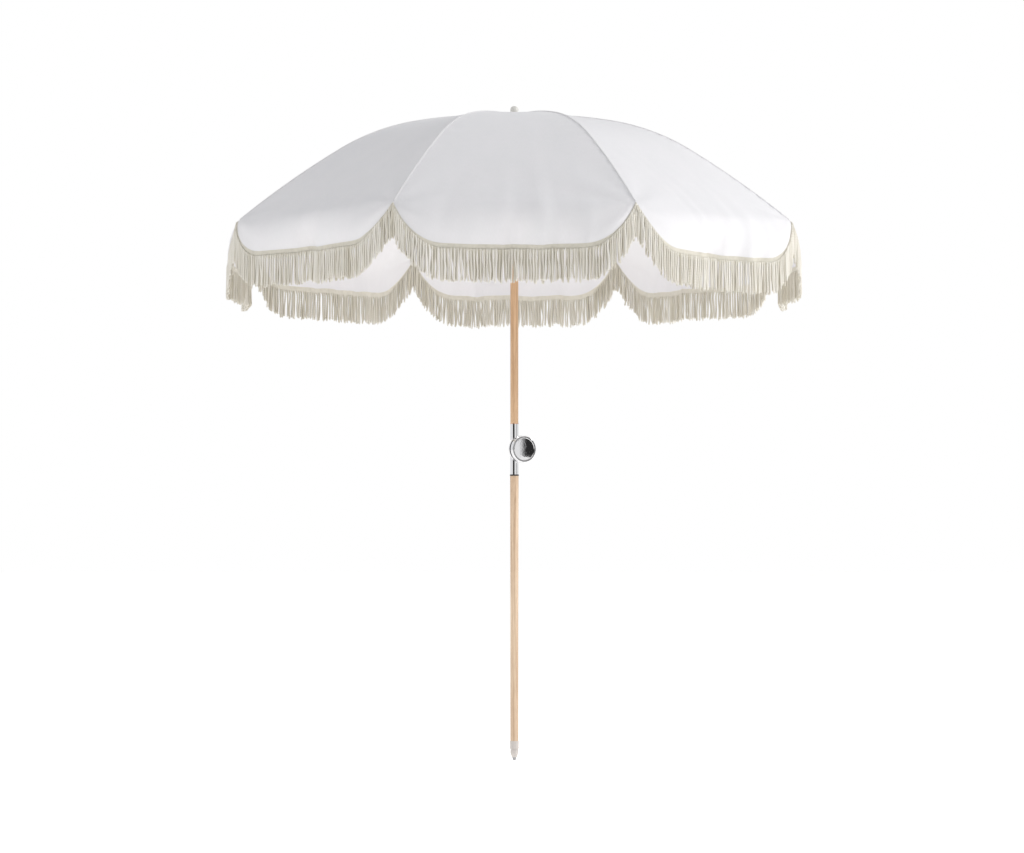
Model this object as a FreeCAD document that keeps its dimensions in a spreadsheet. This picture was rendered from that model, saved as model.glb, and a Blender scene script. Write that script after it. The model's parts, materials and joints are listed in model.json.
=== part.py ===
"""Beach umbrella: two-part wooden pole, chrome tilt joint, eight folding ribs and a fringed canopy.

Units are millimetres. +Z runs up the pole from the ground tip, whose lower end is the origin.
-Y is the front. The eight ribs stand at 22.5, 67.5, ... degrees about the pole.
"""
import FreeCAD
import Part
import Sketcher
import math
import os
import re

RIBS = 8
RIB_STEP = 360.0 / RIBS
FIRST_RIB = RIB_STEP / 2

doc = FreeCAD.newDocument("BeachUmbrella")
dims = doc.addObject("Spreadsheet::Sheet", "Dims")

SIZES = {
    # ground tip
    "point_end_radius": "5",
    "point_radius": "7.5",
    "point_top": "10",
    "point_stem_radius": "4",
    "point_stem_top": "30",
    "tip_taper_radius": "8",
    "tip_band_radius": "14",
    "tip_band_bottom": "24",
    "tip_groove_radius": "12.6",
    "tip_groove_bottom": "36",
    "tip_ring_radius": "15.5",
    "tip_ring_bottom": "39",
    "tip_socket_floor": "43",
    "tip_ring_top": "67",
    # poles
    "pole_radius": "14",
    "pole_taper_start": "500",
    "pole_shoulder_radius": "15",
    "pole_shoulder": "994",
    "tenon_radius": "12.9",
    "lower_tenon_top": "1038",
    "upper_tenon_bottom": "1137",
    "upper_pole_bottom": "1176",
    "pole_top": "2262",
    "finial_hole_radius": "4",
    "finial_hole_bottom": "2236",
    # tilt joint
    "seat_ring_radius": "15.8",
    "seat_ring_top": "999",
    "tube_bore": "13",
    "tube_radius": "14.35",
    "lower_tube_top": "1050",
    "upper_tube_bottom": "1119.5",
    "tube_cap": "4",
    "trim_ring_radius": "15",
    "trim_ring_top": "1178.5",
    "hinge_turn": "27",
    "hinge_offset": "21.5",
    "hinge_height": "1087.5",
    "lug_radius": "31",
    "lug_back": "6",
    "lug_front": "7",
    "washer_front": "7.5",
    "washer_bore": "5.2",
    "disc_radius": "47.5",
    "disc_back": "7.6",
    "disc_front": "14",
    "notch_gap": "0.8",
    "bolt_radius": "5",
    "bolt_running_gap": "0.05",
    "bolt_end": "27.5",
    "bolt_head_radius": "10",
    "bolt_head_height": "6",
    "knob_back": "14.3",
    "knob_boss_radius": "14",
    "knob_rim_back": "19",
    "knob_radius": "47",
    "knob_edge": "2.5",
    "knob_front": "35",
    "knob_bore_end": "28",
    "badge_radius": "38.4",
    "badge_back": "32.6",
    "badge_front": "34.2",
    # runner
    "runner_height": "1937",
    "runner_bore": "14.3",
    "runner_tube_radius": "19",
    "runner_tube_below": "57",
    "runner_tube_above": "13",
    "runner_flange_radius": "41",
    "runner_flange_half": "8",
    "runner_slot_start": "23",
    "runner_slot_width": "8.4",
    "button_below": "36",
    "button_height": "16",
    "button_width": "9",
    "button_gap": "0.3",
    "button_inner": "17",
    "button_outer": "24",
    # crown
    "rib_pin_radius": "1.6",
    "rib_pin_length": "14",
    "hub_radius": "34",
    "hub_bottom": "2249",
    "hub_slot_start": "19.5",
    "hub_slot_width": "8.4",
    "crown_washer_radius": "30",
    "crown_washer_top": "2264.5",
    "crown_patch_radius": "52",
    "crown_patch_top": "2266",
    "crown_bore": "6.5",
    "finial_flange_radius": "22",
    "finial_neck_radius": "12.5",
    "finial_ball_radius": "14.5",
    "finial_top": "2300",
    # ribs: three arcs, each with its start radius and slope
    "rib_start": "26",
    "rib_height": "2257",
    "rib_bend_start": "370",
    "rib_bend_end": "655",
    "rib_end": "1000",
    "slope_start": "1",
    "slope_bend_start": "12",
    "slope_bend_end": "32.5",
    "slope_end": "39.5",
    "rib_width": "6",
    "rib_depth": "7",
    "rib_eye_radius": "4.5",
    "rib_bore_gap": "0.05",
    "cap_radius": "4.6",
    "cap_length": "8",
    "cap_gap": "0.05",
    # stretchers
    "bracket_at": "430",
    "bracket_drop": "10.5",
    "bracket_half_length": "9",
    "bracket_half_width": "5.1",
    "bracket_web": "2",
    "bracket_lip": "2",
    "bracket_foot": "5.5",
    "bracket_side_gap": "0.1",
    "stretcher_side_gap": "0.4",
    "stretcher_pin_radius": "2",
    "stretcher_pin_length": "12",
    "stretcher_bore": "2.05",
    "stretcher_eye_radius": "4.5",
    "stretcher_width": "6",
    "stretcher_depth": "6",
    "stretcher_stub_length": "7.8",
    "stretcher_foot_radius": "33",
    # canopy
    "canopy_start": "36",
    "canopy_lift": "7",
    "canopy_tip_lift": "1.6",
    "canopy_thickness": "1.5",
    "canopy_rib_end": "1014",
    "valance_length": "147",
    "valance_start_slope": "42",
    "valance_end_slope": "88",
    "valance_tuck": "27",
    "band_height": "20",
    "fringe_length": "105",
    "fringe_thickness": "4",
}
DERIVED = {
    "arc_inner": "=(rib_bend_start - rib_start) / (sin(slope_bend_start) - sin(slope_start))",
    "arc_bend": "=(rib_bend_end - rib_bend_start) / (sin(slope_bend_end) - sin(slope_bend_start))",
    "arc_outer": "=(rib_end - rib_bend_end) / (sin(slope_end) - sin(slope_bend_end))",
    "height_bend_start": "=rib_height - arc_inner * (cos(slope_start) - cos(slope_bend_start))",
    "height_bend_end": "=height_bend_start - arc_bend * (cos(slope_bend_start) - cos(slope_bend_end))",
    "height_end": "=height_bend_end - arc_outer * (cos(slope_bend_end) - cos(slope_end))",
    "bracket_slope": "=asin(sin(slope_bend_start) + (bracket_at - rib_bend_start) / arc_bend) / 1 deg",
    "bracket_height": "=height_bend_start - arc_bend * (cos(slope_bend_start) - cos(bracket_slope))",
    "pivot_radius": "=bracket_at - bracket_drop * sin(bracket_slope)",
    "pivot_height": "=bracket_height - bracket_drop * cos(bracket_slope)",
    "stretcher_run": "=pivot_radius - stretcher_foot_radius",
    "stretcher_fall": "=pivot_height - runner_height",
    "stretcher_length": "=sqrt(stretcher_run ^ 2 + stretcher_fall ^ 2)",
    "stretcher_slope": "=atan(stretcher_fall / stretcher_run) / 1 deg",
}
for row, (alias, text) in enumerate({**SIZES, **DERIVED}.items(), start=1):
    dims.set(f"A{row}", alias)
    dims.set(f"B{row}", text)
    dims.setAlias(f"B{row}", alias)
doc.recompute()


def bound(expression):
    """The expression with every named size read from the sheet."""
    return re.sub(r"[a-z]\w*", lambda name: "Dims." + name.group(), expression)


def size(expression):
    """The present value of an expression of named sizes."""
    return float(dims.evalExpression(bound(expression)))


def origin_plane(body, role):
    return next(feature for feature in body.Origin.OriginFeatures if feature.Role == role)


def bind(item, **expressions):
    """Ties each named property of an object to an expression of sizes."""
    for name, expression in expressions.items():
        item.setExpression(name, bound(expression))


def new_sketch(body, name, role, offset="0"):
    """An empty sketch on one of the body's own planes, moved along the plane's normal."""
    sketch = body.newObject("Sketcher::SketchObject", name)
    sketch.AttachmentSupport = (origin_plane(body, role), [""])
    sketch.MapMode = "FlatFace"
    sketch.setExpression("AttachmentOffset.Base.z", bound(offset))
    return sketch


def pin_point(sketch, geometry, end, x, y):
    """Fixes one end of a sketch element at two expressions."""
    for kind, expression in (("DistanceX", x), ("DistanceY", y)):
        index = sketch.addConstraint(Sketcher.Constraint(kind, -1, 1, geometry, end, size(expression)))
        sketch.setExpression(f"Constraints[{index}]", bound(expression))


def polygon(body, name, role, corners, offset="0"):
    """A closed straight-sided sketch whose corners are pairs of expressions."""
    sketch = new_sketch(body, name, role, offset)
    points = [FreeCAD.Vector(size(x), size(y), 0) for x, y in corners]
    for index, point in enumerate(points):
        sketch.addGeometry(Part.LineSegment(point, points[(index + 1) % len(points)]))
    for index in range(len(points)):
        after = (index + 1) % len(points)
        sketch.addConstraint(Sketcher.Constraint("Coincident", index, 2, after, 1))
    for index, (x, y) in enumerate(corners):
        pin_point(sketch, index, 1, x, y)
    return sketch


def circle(body, name, role, x, y, radius, offset="0"):
    """A sketch with one circle."""
    sketch = new_sketch(body, name, role, offset)
    centre = FreeCAD.Vector(size(x), size(y), 0)
    sketch.addGeometry(Part.Circle(centre, FreeCAD.Vector(0, 0, 1), size(radius)))
    pin_point(sketch, 0, 3, x, y)
    index = sketch.addConstraint(Sketcher.Constraint("Radius", 0, size(radius)))
    sketch.setExpression(f"Constraints[{index}]", bound(radius))
    return sketch


def new_body(label):
    body = doc.addObject("PartDesign::Body", label)
    body.Label = label
    return body


def turned(label, corners):
    """A body turned about its own Z axis from (radius, height) corners."""
    body = new_body(label)
    revolve(body, corners)
    return body


def revolve(body, corners):
    sketch = polygon(body, body.Label + "_outline", "XZ_Plane", corners)
    feature = body.newObject("PartDesign::Revolution", body.Label + "_turned")
    feature.Profile = sketch
    feature.ReferenceAxis = (sketch, ["V_Axis"])
    feature.Angle = 360
    sketch.Visibility = False
    return feature


def pad(body, name, sketch, length, both_ways=False):
    feature = body.newObject("PartDesign::Pad", name)
    feature.Profile = sketch
    feature.Midplane = both_ways
    bind(feature, Length=length)
    return feature


def pocket(body, name, sketch, length=None, reverse=False):
    """Cuts a sketch: a given length, or right through both ways. The cut must remove something."""
    doc.recompute()
    before = body.Shape.Volume
    feature = body.newObject("PartDesign::Pocket", name)
    feature.Profile = sketch
    if length is None:
        feature.Type = "ThroughAll"
        feature.Midplane = True
    else:
        feature.Reversed = reverse
        bind(feature, Length=length)
    doc.recompute()
    if body.Shape.Volume > before - 1.0:
        raise RuntimeError(f"{body.Label}: {name} removes nothing")
    return feature


def around_pole(body, name, features):
    """Repeats features once for each rib."""
    pattern = body.newObject("PartDesign::PolarPattern", name)
    pattern.Originals = features
    pattern.Axis = (next(f for f in body.Origin.OriginFeatures if f.Role == "Z_Axis"), [""])
    pattern.Angle = 360
    pattern.Occurrences = RIBS
    body.Tip = pattern
    return pattern


def about_z(degrees):
    return FreeCAD.Placement(FreeCAD.Vector(), FreeCAD.Rotation(FreeCAD.Vector(0, 0, 1), degrees))


def moved(x, y, z):
    return FreeCAD.Placement(FreeCAD.Vector(x, y, z), FreeCAD.Rotation())


def tilted(degrees):
    """A turn that tips +X down and +Z towards +X."""
    return FreeCAD.Placement(FreeCAD.Vector(), FreeCAD.Rotation(FreeCAD.Vector(0, 1, 0), degrees))


nodes = []

# ---- ground tip and lower pole -------------------------------------------------------------
nodes.append(turned("tip_point", [
    ("0", "0"),
    ("point_end_radius", "0"),
    ("point_radius", "point_top"),
    ("point_stem_radius", "point_top"),
    ("point_stem_radius", "point_stem_top"),
    ("0", "point_stem_top"),
]))
nodes.append(turned("tip_collar", [
    ("point_stem_radius", "point_top"),
    ("tip_taper_radius", "point_top"),
    ("tip_band_radius", "tip_band_bottom"),
    ("tip_band_radius", "tip_groove_bottom"),
    ("tip_groove_radius", "tip_groove_bottom"),
    ("tip_groove_radius", "tip_ring_bottom"),
    ("tip_ring_radius - 0.8", "tip_ring_bottom"),
    ("tip_ring_radius", "tip_ring_bottom + 0.8"),
    ("tip_ring_radius", "tip_ring_top - 0.8"),
    ("tip_ring_radius - 0.8", "tip_ring_top"),
    ("pole_radius", "tip_ring_top"),
    ("pole_radius", "tip_socket_floor"),
    ("0", "tip_socket_floor"),
    ("0", "point_stem_top"),
    ("point_stem_radius", "point_stem_top"),
]))
nodes.append(turned("lower_pole", [
    ("0", "tip_socket_floor"),
    ("pole_radius", "tip_socket_floor"),
    ("pole_radius", "pole_taper_start"),
    ("pole_shoulder_radius", "pole_shoulder"),
    ("tenon_radius", "pole_shoulder"),
    ("tenon_radius", "lower_tenon_top"),
    ("0", "lower_tenon_top"),
]))
nodes.append(turned("seat_ring", [
    ("tube_bore", "pole_shoulder"),
    ("seat_ring_radius - 0.6", "pole_shoulder"),
    ("seat_ring_radius", "pole_shoulder + 0.6"),
    ("seat_ring_radius", "seat_ring_top - 0.6"),
    ("seat_ring_radius - 0.6", "seat_ring_top"),
    ("tube_bore", "seat_ring_top"),
]))

# ---- tilt joint: its own frame has +X to the side of the pivot and -Y along the bolt ---------
tilt_frame = about_z(size("hinge_turn"))

lower_arm = turned("lower_tilt_arm", [
    ("tube_bore", "seat_ring_top"),
    ("tube_radius", "seat_ring_top"),
    ("tube_radius", "lower_tube_top - 1"),
    ("tube_radius - 1", "lower_tube_top"),
    ("0", "lower_tube_top"),
    ("0", "lower_tube_top - tube_cap"),
    ("tube_bore", "lower_tube_top - tube_cap"),
])
neck = polygon(lower_arm, "neck_outline", "XZ_Plane", [
    ("-tube_radius + 1", "lower_tube_top - 3"),
    ("-tube_radius + 1", "lower_tube_top + 14"),
    ("4", "hinge_height + 20"),
    ("hinge_offset + 24", "hinge_height - 17"),
    ("tube_radius - 1", "lower_tube_top - 3"),
], offset="-lug_back")
pad(lower_arm, "neck", neck, "lug_back + lug_front")
lug = circle(lower_arm, "lug_outline", "XZ_Plane", "hinge_offset", "hinge_height", "lug_radius",
             offset="-lug_back")
pad(lower_arm, "lug", lug, "lug_back + lug_front")
notch = circle(lower_arm, "notch_outline", "XZ_Plane", "hinge_offset", "hinge_height",
               "disc_radius + notch_gap", offset="lug_front + 0.2")
pocket(lower_arm, "disc_notch", notch, "tube_radius", reverse=True)
bolt_hole = circle(lower_arm, "bolt_hole_outline", "XZ_Plane", "hinge_offset", "hinge_height",
                   "bolt_radius")
pocket(lower_arm, "bolt_hole", bolt_hole)
lower_arm.Placement = tilt_frame
nodes.append(lower_arm)

upper_arm = turned("upper_tilt_arm", [
    ("tube_bore", "upper_pole_bottom"),
    ("tube_radius", "upper_pole_bottom"),
    ("tube_radius", "upper_tube_bottom + 1"),
    ("tube_radius - 1", "upper_tube_bottom"),
    ("0", "upper_tube_bottom"),
    ("0", "upper_tube_bottom + tube_cap"),
    ("tube_bore", "upper_tube_bottom + tube_cap"),
])
disc = circle(upper_arm, "disc_outline", "XZ_Plane", "hinge_offset", "hinge_height", "disc_radius",
              offset="disc_back")
pad(upper_arm, "disc", disc, "disc_front - disc_back")
running_hole = circle(upper_arm, "running_hole_outline", "XZ_Plane", "hinge_offset", "hinge_height",
                      "bolt_radius + bolt_running_gap")
pocket(upper_arm, "running_hole", running_hole, "disc_front + 1", reverse=True)
upper_arm.Placement = tilt_frame
nodes.append(upper_arm)

# Turned tilt parts have their own Z along the bolt, pointing to the front.
bolt_frame = tilt_frame * moved(size("hinge_offset"), 0, size("hinge_height"))
bolt_frame = bolt_frame * FreeCAD.Placement(
    FreeCAD.Vector(), FreeCAD.Rotation(FreeCAD.Vector(1, 0, 0), 90))

friction_washer = turned("friction_washer", [
    ("washer_bore", "lug_front"),
    ("lug_radius - 1", "lug_front"),
    ("lug_radius - 1", "washer_front"),
    ("washer_bore", "washer_front"),
])
friction_washer.Placement = bolt_frame
nodes.append(friction_washer)

bolt_shank = doc.addObject("Part::Cylinder", "bolt_shank")
bind(bolt_shank, Radius="bolt_radius", Height="lug_back + bolt_end")
bolt_shank.setExpression("Placement.Base.z", bound("-lug_back"))
bolt_head = doc.addObject("Part::Prism", "bolt_head")
bolt_head.Polygon = 6
bind(bolt_head, Circumradius="bolt_head_radius", Height="bolt_head_height")
bolt_head.setExpression("Placement.Base.z", bound("-lug_back - bolt_head_height"))
pivot_bolt = doc.addObject("Part::MultiFuse", "pivot_bolt")
pivot_bolt.Shapes = [bolt_shank, bolt_head]
pivot_bolt.Placement = bolt_frame
nodes.append(pivot_bolt)

clamp_knob = turned("clamp_knob", [
    ("bolt_radius + bolt_running_gap", "knob_back"),
    ("knob_boss_radius", "knob_back"),
    ("knob_boss_radius", "knob_rim_back"),
    ("knob_radius - knob_edge", "knob_rim_back"),
    ("knob_radius - 0.7", "knob_rim_back + 0.8"),
    ("knob_radius", "knob_rim_back + knob_edge"),
    ("knob_radius", "knob_front - knob_edge"),
    ("knob_radius - 0.7", "knob_front - 0.8"),
    ("knob_radius - knob_edge", "knob_front"),
    ("badge_radius + 1.2", "knob_front"),
    ("badge_radius", "knob_front - 1"),
    ("badge_radius", "badge_back"),
    ("0", "badge_back"),
    ("0", "knob_bore_end"),
    ("bolt_radius + bolt_running_gap", "knob_bore_end"),
])
clamp_knob.Placement = bolt_frame
nodes.append(clamp_knob)

knob_face = turned("knob_face", [
    ("0", "badge_back"),
    ("badge_radius", "badge_back"),
    ("badge_radius", "badge_front - 0.6"),
    ("badge_radius - 0.6", "badge_front"),
    ("0", "badge_front"),
])
knob_face.Placement = bolt_frame
nodes.append(knob_face)

# ---- upper pole ----------------------------------------------------------------------------
nodes.append(turned("trim_ring", [
    ("pole_radius", "upper_pole_bottom"),
    ("trim_ring_radius", "upper_pole_bottom"),
    ("trim_ring_radius", "trim_ring_top - 0.5"),
    ("trim_ring_radius - 0.5", "trim_ring_top"),
    ("pole_radius", "trim_ring_top"),
]))
nodes.append(turned("upper_pole", [
    ("0", "upper_tenon_bottom"),
    ("tenon_radius", "upper_tenon_bottom"),
    ("tenon_radius", "upper_pole_bottom"),
    ("pole_radius", "upper_pole_bottom"),
    ("pole_radius", "pole_top"),
    ("finial_hole_radius", "pole_top"),
    ("finial_hole_radius", "finial_hole_bottom"),
    ("0", "finial_hole_bottom"),
]))

# ---- runner: a sleeve with a slotted flange for the stretchers and a press button -------------
runner = turned("runner", [
    ("runner_bore", "runner_height - runner_tube_below"),
    ("runner_tube_radius", "runner_height - runner_tube_below"),
    ("runner_tube_radius", "runner_height - runner_flange_half"),
    ("runner_flange_radius - 1.5", "runner_height - runner_flange_half"),
    ("runner_flange_radius", "runner_height - runner_flange_half + 1.5"),
    ("runner_flange_radius", "runner_height + runner_flange_half - 1.5"),
    ("runner_flange_radius - 1.5", "runner_height + runner_flange_half"),
    ("runner_tube_radius", "runner_height + runner_flange_half"),
    ("runner_tube_radius", "runner_height + runner_tube_above"),
    ("runner_bore", "runner_height + runner_tube_above"),
])
slot = polygon(runner, "slot_outline", "XY_Plane", [
    ("runner_slot_start", "-runner_slot_width / 2"),
    ("runner_flange_radius + 5", "-runner_slot_width / 2"),
    ("runner_flange_radius + 5", "runner_slot_width / 2"),
    ("runner_slot_start", "runner_slot_width / 2"),
])
runner_slot = pocket(runner, "stretcher_slot", slot)
around_pole(runner, "stretcher_slots", [runner_slot])
window = polygon(runner, "window_outline", "YZ_Plane", [
    ("-button_width / 2 - button_gap", "runner_height - button_below - button_height - button_gap"),
    ("button_width / 2 + button_gap", "runner_height - button_below - button_height - button_gap"),
    ("button_width / 2 + button_gap", "runner_height - button_below + button_gap"),
    ("-button_width / 2 - button_gap", "runner_height - button_below + button_gap"),
])
pocket(runner, "button_window", window, "runner_tube_radius + 2", reverse=True)
runner.Placement = about_z(FIRST_RIB)
nodes.append(runner)

runner_button = doc.addObject("Part::Box", "runner_button")
bind(runner_button, Length="button_outer - button_inner", Width="button_width", Height="button_height")
button_place = about_z(FIRST_RIB) * moved(size("button_inner"), -size("button_width / 2"),
                                          size("runner_height - button_below - button_height"))
runner_button.Placement = button_place
nodes.append(runner_button)

# ---- crown ---------------------------------------------------------------------------------
crown_hub = turned("crown_hub", [
    ("pole_radius", "hub_bottom"),
    ("hub_radius - 1", "hub_bottom"),
    ("hub_radius", "hub_bottom + 1"),
    ("hub_radius", "pole_top - 1"),
    ("hub_radius - 1", "pole_top"),
    ("pole_radius", "pole_top"),
])
hub_slot_outline = polygon(crown_hub, "hub_slot_outline", "XY_Plane", [
    ("hub_slot_start", "-hub_slot_width / 2"),
    ("hub_radius + 5", "-hub_slot_width / 2"),
    ("hub_radius + 5", "hub_slot_width / 2"),
    ("hub_slot_start", "hub_slot_width / 2"),
])
hub_slot = pocket(crown_hub, "rib_slot", hub_slot_outline)
pin_hole_outline = circle(crown_hub, "pin_hole_outline", "XZ_Plane", "rib_start", "rib_height",
                          "rib_pin_radius", offset="-rib_pin_length / 2")
pin_hole = pocket(crown_hub, "pin_hole", pin_hole_outline, "rib_pin_length", reverse=True)
around_pole(crown_hub, "rib_slots", [hub_slot, pin_hole])
crown_hub.Placement = about_z(FIRST_RIB)
nodes.append(crown_hub)

pins = []
for rib in range(RIBS):
    pin = doc.addObject("Part::Cylinder", f"crown_pin_{rib + 1}")
    bind(pin, Radius="rib_pin_radius", Height="rib_pin_length")
    pin.Placement = (about_z(FIRST_RIB + rib * RIB_STEP)
                     * moved(size("rib_start"), size("rib_pin_length / 2"), size("rib_height"))
                     * FreeCAD.Placement(FreeCAD.Vector(), FreeCAD.Rotation(FreeCAD.Vector(1, 0, 0), 90)))
    pins.append(pin)
crown_pins = doc.addObject("Part::Compound", "crown_pins")
crown_pins.Links = pins
nodes.append(crown_pins)

nodes.append(turned("crown_washer", [
    ("crown_bore", "pole_top"),
    ("crown_washer_radius", "pole_top"),
    ("crown_washer_radius", "crown_washer_top"),
    ("crown_bore", "crown_washer_top"),
]))
nodes.append(turned("crown_patch", [
    ("crown_bore", "crown_washer_top"),
    ("crown_patch_radius", "crown_washer_top"),
    ("crown_patch_radius", "crown_patch_top - 0.5"),
    ("crown_patch_radius - 0.5", "crown_patch_top"),
    ("crown_bore", "crown_patch_top"),
]))
nodes.append(turned("finial", [
    ("0", "finial_hole_bottom"),
    ("finial_hole_radius", "finial_hole_bottom"),
    ("finial_hole_radius", "crown_patch_top"),
    ("finial_flange_radius - 1", "crown_patch_top"),
    ("finial_flange_radius", "crown_patch_top + 1.5"),
    ("finial_flange_radius - 1", "crown_patch_top + 3.5"),
    ("finial_neck_radius + 1", "crown_patch_top + 6.5"),
    ("finial_neck_radius", "crown_patch_top + 9"),
    ("finial_ball_radius - 0.8", "finial_top - 19"),
    ("finial_ball_radius", "finial_top - 14"),
    ("finial_ball_radius - 0.9", "finial_top - 8.5"),
    ("finial_ball_radius - 3.8", "finial_top - 4"),
    ("finial_ball_radius - 8.5", "finial_top - 1"),
    ("0", "finial_top"),
]))


# ---- ribs ----------------------------------------------------------------------------------
def rib_path(body):
    """The rib's centre line in its own upright plane: three arcs that meet in line."""
    sketch = new_sketch(body, body.Label + "_path", "XZ_Plane")
    stops = [("rib_start", "rib_height"), ("rib_bend_start", "height_bend_start"),
             ("rib_bend_end", "height_bend_end"), ("rib_end", "height_end")]
    slopes = ["slope_start", "slope_bend_start", "slope_bend_end", "slope_end"]
    for index, radius in enumerate(("arc_inner", "arc_bend", "arc_outer")):
        start, end = (math.radians(size(slope)) for slope in slopes[index:index + 2])
        centre = FreeCAD.Vector(size(stops[index][0]) - size(radius) * math.sin(start),
                                size(stops[index][1]) - size(radius) * math.cos(start), 0)
        whole = Part.Circle(centre, FreeCAD.Vector(0, 0, 1), size(radius))
        sketch.addGeometry(Part.ArcOfCircle(whole, math.pi / 2 - end, math.pi / 2 - start))
        pin_point(sketch, index, 2, *stops[index])
        pin_point(sketch, index, 1, *stops[index + 1])
        place = sketch.addConstraint(Sketcher.Constraint("Radius", index, size(radius)))
        sketch.setExpression(f"Constraints[{place}]", bound(radius))
    return sketch


def make_rib(label):
    body = new_body(label)
    path = rib_path(body)
    section = polygon(body, label + "_section", "YZ_Plane", [
        ("-rib_width / 2", "rib_height - rib_depth / 2"),
        ("rib_width / 2", "rib_height - rib_depth / 2"),
        ("rib_width / 2", "rib_height + rib_depth / 2"),
        ("-rib_width / 2", "rib_height + rib_depth / 2"),
    ], offset="rib_start")
    bar = body.newObject("PartDesign::AdditivePipe", label + "_bar")
    bar.Profile = section
    bar.Spine = path
    eye = circle(body, label + "_eye_outline", "XZ_Plane", "rib_start", "rib_height", "rib_eye_radius")
    pad(body, label + "_eye", eye, "rib_width", both_ways=True)
    bore = circle(body, label + "_bore_outline", "XZ_Plane", "rib_start", "rib_height",
                  "rib_pin_radius + rib_bore_gap")
    pocket(body, label + "_bore", bore)
    return body


# The bracket's own frame has its origin on the rib's centre line and +X along the rib.
bracket = new_body("bracket_piece")
saddle = polygon(bracket, "saddle_outline", "XZ_Plane", [
    ("-bracket_half_length", "bracket_lip"),
    ("-bracket_half_length", "-rib_depth / 2 - bracket_web"),
    ("-bracket_foot", "-bracket_drop - bracket_foot"),
    ("bracket_foot", "-bracket_drop - bracket_foot"),
    ("bracket_half_length", "-rib_depth / 2 - bracket_web"),
    ("bracket_half_length", "bracket_lip"),
])
pad(bracket, "saddle", saddle, "2 * bracket_half_width", both_ways=True)
channel = polygon(bracket, "channel_outline", "YZ_Plane", [
    ("-rib_width / 2 - bracket_side_gap", "-rib_depth / 2 - bracket_side_gap"),
    ("rib_width / 2 + bracket_side_gap", "-rib_depth / 2 - bracket_side_gap"),
    ("rib_width / 2 + bracket_side_gap", "bracket_lip + 1"),
    ("-rib_width / 2 - bracket_side_gap", "bracket_lip + 1"),
])
pocket(bracket, "rib_channel", channel)
fork = polygon(bracket, "fork_outline", "YZ_Plane", [
    ("-stretcher_width / 2 - stretcher_side_gap", "-bracket_drop - bracket_foot - 1"),
    ("stretcher_width / 2 + stretcher_side_gap", "-bracket_drop - bracket_foot - 1"),
    ("stretcher_width / 2 + stretcher_side_gap", "-rib_depth / 2 - bracket_web"),
    ("-stretcher_width / 2 - stretcher_side_gap", "-rib_depth / 2 - bracket_web"),
])
pocket(bracket, "stretcher_fork", fork)
cheek_hole = circle(bracket, "cheek_hole_outline", "XZ_Plane", "0", "-bracket_drop",
                    "stretcher_pin_radius")
pocket(bracket, "cheek_hole", cheek_hole)
bracket.Placement = moved(size("bracket_at"), 0, size("bracket_height")) * tilted(size("bracket_slope"))

bracket_pin = doc.addObject("Part::Cylinder", "bracket_pin_piece")
bind(bracket_pin, Radius="stretcher_pin_radius", Height="stretcher_pin_length")
bracket_pin.Placement = (moved(size("pivot_radius"), size("stretcher_pin_length / 2"), size("pivot_height"))
                         * FreeCAD.Placement(FreeCAD.Vector(),
                                             FreeCAD.Rotation(FreeCAD.Vector(1, 0, 0), 90)))

tip_cap = turned("tip_cap_piece", [
    ("0", "cap_gap"),
    ("cap_radius", "cap_gap"),
    ("cap_radius", "cap_length - 2.5"),
    ("cap_radius - 1.2", "cap_length - 0.8"),
    ("cap_radius - 3", "cap_length"),
    ("0", "cap_length"),
])
tip_cap.Placement = moved(size("rib_end"), 0, size("height_end")) * tilted(90 + size("slope_end"))


# ---- stretchers: own frame has its origin at the bracket pivot and +X towards the runner -------
def make_stretcher(label):
    body = new_body(label)
    bar = polygon(body, label + "_bar_outline", "XZ_Plane", [
        ("0", "-stretcher_depth / 2"),
        ("stretcher_length", "-stretcher_depth / 2"),
        ("stretcher_length", "stretcher_depth / 2"),
        ("0", "stretcher_depth / 2"),
    ])
    pad(body, label + "_bar", bar, "stretcher_width", both_ways=True)
    for end, place in (("top", "0"), ("foot", "stretcher_length")):
        eye = circle(body, f"{label}_{end}_outline", "XZ_Plane", place, "0", "stretcher_eye_radius")
        pad(body, f"{label}_{end}_eye", eye, "stretcher_width", both_ways=True)
    stub = circle(body, label + "_stub_outline", "XZ_Plane", "stretcher_length", "0",
                  "stretcher_pin_radius")
    pad(body, label + "_stub", stub, "stretcher_stub_length", both_ways=True)
    bore = circle(body, label + "_bore_outline", "XZ_Plane", "0", "0", "stretcher_bore")
    pocket(body, label + "_bore", bore)
    return body


stretcher_place = moved(size("pivot_radius"), 0, size("pivot_height")) * tilted(
    180 - size("stretcher_slope"))


# ---- canopy: each of the eight panels in two halves, one to each side of a rib -----------------
def rib_height_at(radius):
    """Height of the rib's centre line, carried on along its outer arc past the rib's end."""
    spans = (("rib_start", "rib_bend_start", "rib_height", "slope_start", "arc_inner"),
             ("rib_bend_start", "rib_bend_end", "height_bend_start", "slope_bend_start", "arc_bend"),
             ("rib_bend_end", "rib_end", "height_bend_end", "slope_bend_end", "arc_outer"))
    for start, end, height, slope, arc in spans:
        if radius <= size(end) or end == "rib_end":
            lean = math.radians(size(slope))
            turn = math.asin(math.sin(lean) + (radius - size(start)) / size(arc))
            return size(height) - size(arc) * (math.cos(lean) - math.cos(turn))


def fullness(share):
    """How much of the valance and of the fringe's thickness is there, at a share of the way to mid-panel."""
    return 1 - (1 - min(share / 0.45, 1.0)) ** 2.2


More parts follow.
